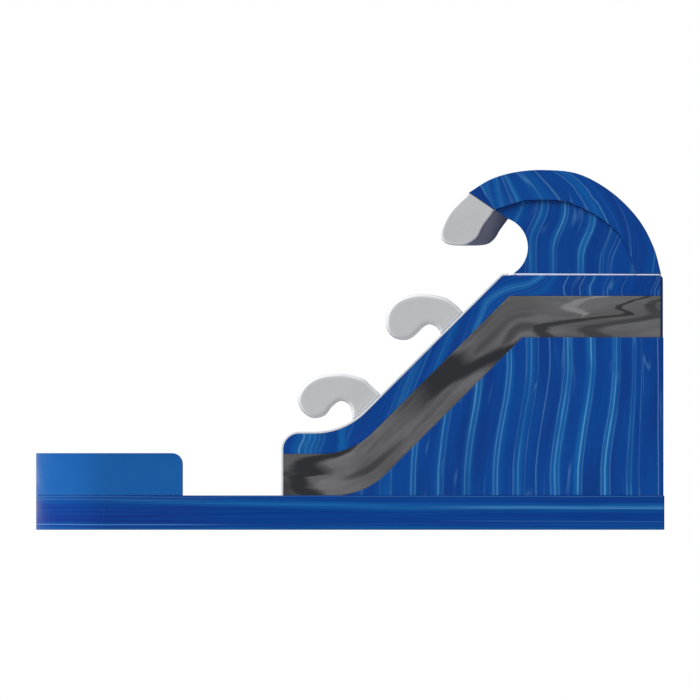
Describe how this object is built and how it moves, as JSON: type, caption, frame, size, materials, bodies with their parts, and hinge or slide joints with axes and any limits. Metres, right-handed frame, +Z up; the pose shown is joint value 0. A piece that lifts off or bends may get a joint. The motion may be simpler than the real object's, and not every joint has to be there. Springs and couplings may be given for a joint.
{
  "type": "inflatable water slide",
  "caption": "Free-standing inflatable water slide with a splash pool, a climb lane beside a slide lane, tall side walls and a canopy shaped like a breaking wave.",
  "frame": {"origin": "on the ground plane, under the middle of the base's length and width", "axes": "+X from the splash pool to the tower, +Y across the slide to the air inlet's side, +Z up"},
  "size_m": [10.472, 4.9005, 5.998],
  "materials": {
    "blue_pvc": "satin",
    "grey_pvc": "satin",
    "white_pvc": "satin",
    "mat_pvc": "satin",
    "webbing": "woven",
    "steel": "galvanised",
    "brass": "satin",
    "pipe": "matt",
    "lever": "matt"
  },
  "bodies": {
    "slide": {"base_front": "blue_pvc", "base_near": "blue_pvc", "base_far": "blue_pvc", "base_rear": "blue_pvc", "base_deck": "blue_pvc", "pool_wall": "blue_pvc", "pool_floor": "mat_pvc", "near_body": "blue_pvc", "far_body": "blue_pvc", "climb_core": "blue_pvc", "slide_core": "blue_pvc", "divider_core": "blue_pvc", "near_wall_lower": "grey_pvc", "far_wall_lower": "grey_pvc", "near_wall_upper": "blue_pvc", "far_wall_upper": "blue_pvc", "near_trim": "white_pvc", "far_trim": "white_pvc", "back_wall": "blue_pvc", "divider_wall": "grey_pvc", "climb_bed": "mat_pvc", "slide_bed": "mat_pvc", "platform_pad": "mat_pvc", "step_1": "white_pvc", "step_2": "white_pvc", "step_3": "white_pvc", "step_4": "white_pvc", "step_5": "white_pvc", "step_6": "white_pvc", "wave_roof": "blue_pvc", "wave_tip": "white_pvc", "near_wave_panel": "blue_pvc", "far_wave_panel": "blue_pvc", "near_lower_curl": "white_pvc", "near_upper_curl": "white_pvc", "far_lower_curl": "white_pvc", "far_upper_curl": "white_pvc", "inlet_sleeve": "blue_pvc", "inlet_strap": "webbing", "zip_tape": "webbing", "anchor_patch_1": "blue_pvc", "anchor_patch_2": "blue_pvc", "anchor_patch_3": "blue_pvc", "anchor_loop_1": "webbing", "anchor_loop_2": "webbing", "anchor_loop_3": "webbing", "spray_pipe": "pipe", "pipe_saddle_1": "webbing", "pipe_saddle_2": "webbing", "valve_body": "brass", "wall_handle": "webbing", "divider_handle": "webbing"},
    "slider": {"zip_slider": "brass"},
    "pull": {"zip_pull": "brass"},
    "flap": {"zip_flap": "blue_pvc"},
    "ring_1": {"anchor_ring_1": "steel"},
    "ring_2": {"anchor_ring_2": "steel"},
    "ring_3": {"anchor_ring_3": "steel"},
    "lever": {"valve_lever": "lever"},
    "coupling": {"hose_coupling": "pipe"}
  },
  "joints": [
    {"name": "zip_slide", "type": "slide", "parent": "slide", "child": "slider", "axis": [1, 0, 0], "range_m": [0, 0.98]},
    {"name": "pull_hinge", "type": "hinge", "parent": "slider", "child": "pull", "pos_m": [1.256, 2.1136, 0.3], "axis": [1, 0, 0], "range_deg": [0, 90]},
    {"name": "flap_hinge", "type": "hinge", "parent": "slide", "child": "flap", "pos_m": [1.8385, 2.1016, 0.375], "axis": [1, 0, 0], "range_deg": [0, 120]},
    {"name": "ring_1_hinge", "type": "hinge", "parent": "slide", "child": "ring_1", "pos_m": [-3.3, 2.1116, 0.2], "axis": [1, 0, 0], "range_deg": [0, 160]},
    {"name": "ring_2_hinge", "type": "hinge", "parent": "slide", "child": "ring_2", "pos_m": [-0.3, 2.1116, 0.2], "axis": [1, 0, 0], "range_deg": [0, 160]},
    {"name": "ring_3_hinge", "type": "hinge", "parent": "slide", "child": "ring_3", "pos_m": [2.7, 2.1116, 0.2], "axis": [1, 0, 0], "range_deg": [0, 160]},
    {"name": "lever_hinge", "type": "hinge", "parent": "slide", "child": "lever", "pos_m": [3.1172, 1.39, 5.4217], "axis": [0, 0, 1], "range_deg": [0, 90]},
    {"name": "coupling_spin", "type": "hinge", "parent": "slide", "child": "coupling", "pos_m": [3.1172, 1.4303, 5.448], "axis": [0, 1, 0], "continuous": true}
  ]
}
